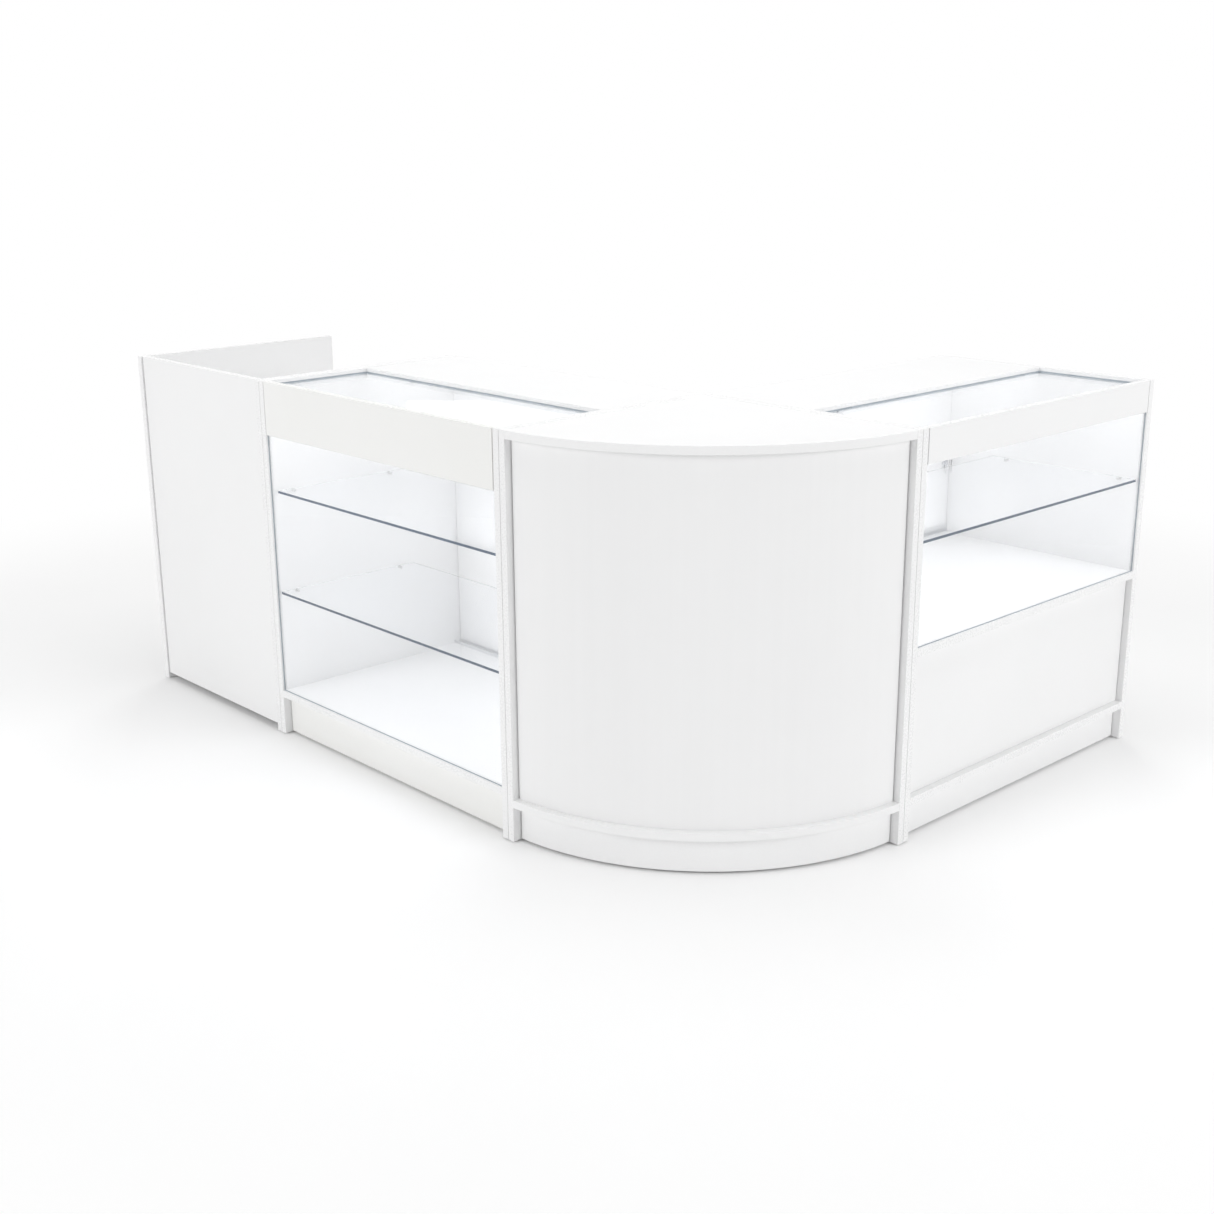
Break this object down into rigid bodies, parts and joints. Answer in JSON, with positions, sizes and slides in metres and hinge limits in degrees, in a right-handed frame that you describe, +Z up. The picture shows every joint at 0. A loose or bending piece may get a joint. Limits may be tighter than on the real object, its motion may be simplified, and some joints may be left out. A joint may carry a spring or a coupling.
{
  "type": "checkout counter",
  "caption": "L-shaped shop checkout counter: till unit with drawer, glass displays with sliding rear doors and glass shelves, quarter-round corner",
  "frame": {"origin": "centre of the whole counter plan at floor level", "axes": "+X along the left run from the till unit to the corner, +Y along the right run away from the corner, +Z up; customers stand on the -Y and +X sides"},
  "size_m": [2.0994, 1.4996, 0.9],
  "materials": {
    "white_board": "white melamine-faced board, fine satin texture",
    "inner_board": "white melamine-faced board, satin",
    "clear_glass": "clear polished glass with blue-grey edges",
    "anodised_aluminium": "satin anodised extrusion",
    "zinc_plated_steel": "bright zinc plated sheet",
    "nickel_plated_steel": "nickel plated",
    "chrome": "polished chrome",
    "grey_plastic": "satin moulded plastic",
    "black_plastic": "moulded plastic"
  },
  "bodies": {
    "cabinet": {"till_left_side": "white_board", "till_right_side": "white_board", "till_front_panel": "white_board", "till_worktop": "white_board", "till_shelf": "white_board", "till_base_board": "white_board", "till_rear_plinth": "white_board", "cabinet_runners": "zinc_plated_steel", "display_left_side": "white_board", "display_right_side": "white_board", "display_fascia": "white_board", "display_deck": "white_board", "display_plinths": "white_board", "display_front_glass": "clear_glass", "display_top_glass": "clear_glass", "display_rear_worktop": "white_board", "display_upper_shelf": "clear_glass", "display_lower_shelf": "clear_glass", "display_door_tracks": "anodised_aluminium", "corner_left_side": "white_board", "corner_right_side": "white_board", "corner_top": "white_board", "corner_curved_panel": "white_board", "corner_base_board": "white_board", "corner_curved_plinth": "white_board", "corner_rib": "inner_board", "counter_left_side": "white_board", "counter_right_side": "white_board", "counter_fascia": "white_board", "counter_mid_deck": "white_board", "counter_lower_panel": "white_board", "counter_base_board": "white_board", "counter_plinths": "white_board", "counter_front_glass": "clear_glass", "counter_top_glass": "clear_glass", "counter_rear_worktop": "white_board", "counter_glass_shelf": "clear_glass", "counter_storage_shelf": "white_board", "counter_door_tracks": "anodised_aluminium", "shelf_pins": "nickel_plated_steel", "levelling_glides": "black_plastic", "connector_bolts": "nickel_plated_steel"},
    "drawer": {"drawer_front": "white_board", "drawer_sides_and_back": "inner_board", "drawer_bottom": "inner_board", "drawer_runners": "zinc_plated_steel", "drawer_lock_housing": "chrome"},
    "drawer_lock": {"drawer_lock_barrel": "chrome"},
    "display_left_slider": {"display_left_door": "white_board", "display_left_pull": "grey_plastic"},
    "display_right_slider": {"display_right_door": "white_board", "display_right_pull": "grey_plastic", "display_lock_housing": "chrome"},
    "display_lock": {"display_lock_barrel": "chrome"},
    "counter_left_slider": {"counter_left_door": "white_board", "counter_left_pull": "grey_plastic"},
    "counter_right_slider": {"counter_right_door": "white_board", "counter_right_pull": "grey_plastic", "counter_lock_housing": "chrome"},
    "counter_lock": {"counter_lock_barrel": "chrome"}
  },
  "joints": [
    {"name": "drawer_slide", "type": "slide", "parent": "cabinet", "child": "drawer", "axis": [0, 1, 0], "range_m": [0, 0.33]},
    {"name": "drawer_lock_turn", "type": "hinge", "parent": "drawer", "child": "drawer_lock", "pos_m": [-0.75025, -0.16975, 0.707], "axis": [0, 1, 0], "range_deg": [0, 90]},
    {"name": "display_left_door_slide", "type": "slide", "parent": "cabinet", "child": "display_left_slider", "axis": [1, 0, 0], "range_m": [0, 0.41]},
    {"name": "display_right_door_slide", "type": "slide", "parent": "cabinet", "child": "display_right_slider", "axis": [-1, 0, 0], "range_m": [0, 0.41]},
    {"name": "display_lock_turn", "type": "hinge", "parent": "display_right_slider", "child": "display_lock", "pos_m": [0.40825, -0.19825, 0.626], "axis": [0, -1, 0], "range_deg": [0, 90]},
    {"name": "counter_left_door_slide", "type": "slide", "parent": "cabinet", "child": "counter_left_slider", "axis": [0, 1, 0], "range_m": [0, 0.41]},
    {"name": "counter_right_door_slide", "type": "slide", "parent": "cabinet", "child": "counter_right_slider", "axis": [0, -1, 0], "range_m": [0, 0.41]},
    {"name": "counter_lock_turn", "type": "hinge", "parent": "counter_right_slider", "child": "counter_lock", "pos_m": [0.49825, 0.70875, 0.626], "axis": [1, 0, 0], "range_deg": [0, 90]}
  ]
}
